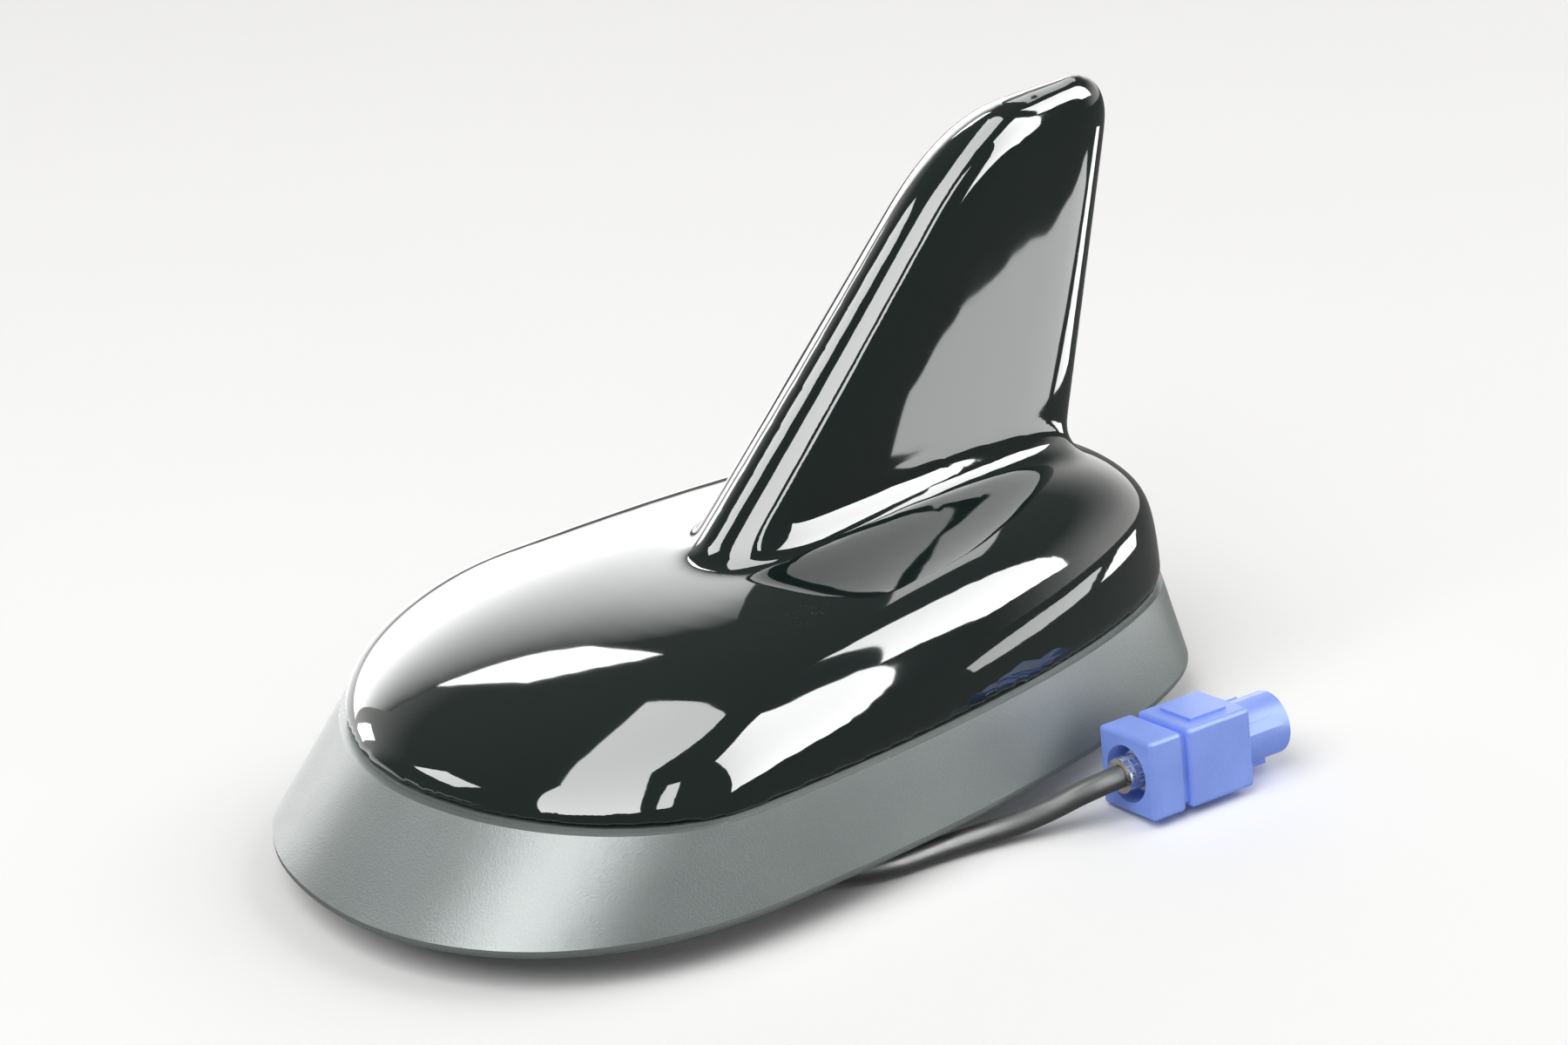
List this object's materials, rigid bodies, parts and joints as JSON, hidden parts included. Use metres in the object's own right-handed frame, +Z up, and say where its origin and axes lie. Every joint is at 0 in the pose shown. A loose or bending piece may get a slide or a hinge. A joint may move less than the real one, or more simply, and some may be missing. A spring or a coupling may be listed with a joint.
{
  "type": "car antenna",
  "caption": "Shark-fin car roof antenna: gloss black domed shell with a swept fin, grey rubber skirt, cast base with a threaded boss, and a short coaxial lead with a blue plug.",
  "frame": {"origin": "middle of the skirt's plan, at the height of the fixing boss's foot", "axes": "+X along the length to the tail, +Y to the antenna's right, +Z up through the fin"},
  "size_m": [0.112, 0.0694, 0.0731],
  "materials": {
    "gloss_shell": "polished",
    "grey_rubber": "matte",
    "cast_metal": "as cast",
    "black_foam": "matte",
    "zinc_steel": "plated",
    "circuit_board": "satin",
    "white_ceramic": "matte",
    "silver_film": "satin",
    "chip_black": "matte",
    "cable_jacket": "satin",
    "plug_blue": "satin",
    "nickel": "plated",
    "gold_contact": "plated",
    "white_insulator": "satin"
  },
  "bodies": {
    "root": {"shell": "gloss_shell", "base_seal": "grey_rubber", "base_plate": "cast_metal", "hub_gasket": "black_foam", "shell_screws": "zinc_steel", "main_board": "circuit_board", "board_screws": "zinc_steel", "satellite_patch": "white_ceramic", "patch_electrode": "silver_film", "patch_feed": "zinc_steel", "shield_can": "nickel", "amplifier_chip": "chip_black", "band_filter": "chip_black", "fin_radiator": "circuit_board", "radiator_spring": "gold_contact", "coax_cable": "cable_jacket", "cable_grommet": "black_foam", "plug_housing": "plug_blue", "plug_lock": "plug_blue", "crimp_ferrule": "nickel", "contact_sleeve": "nickel", "contact_insulator": "white_insulator", "contact_pin": "gold_contact"}
  },
  "joints": []
}
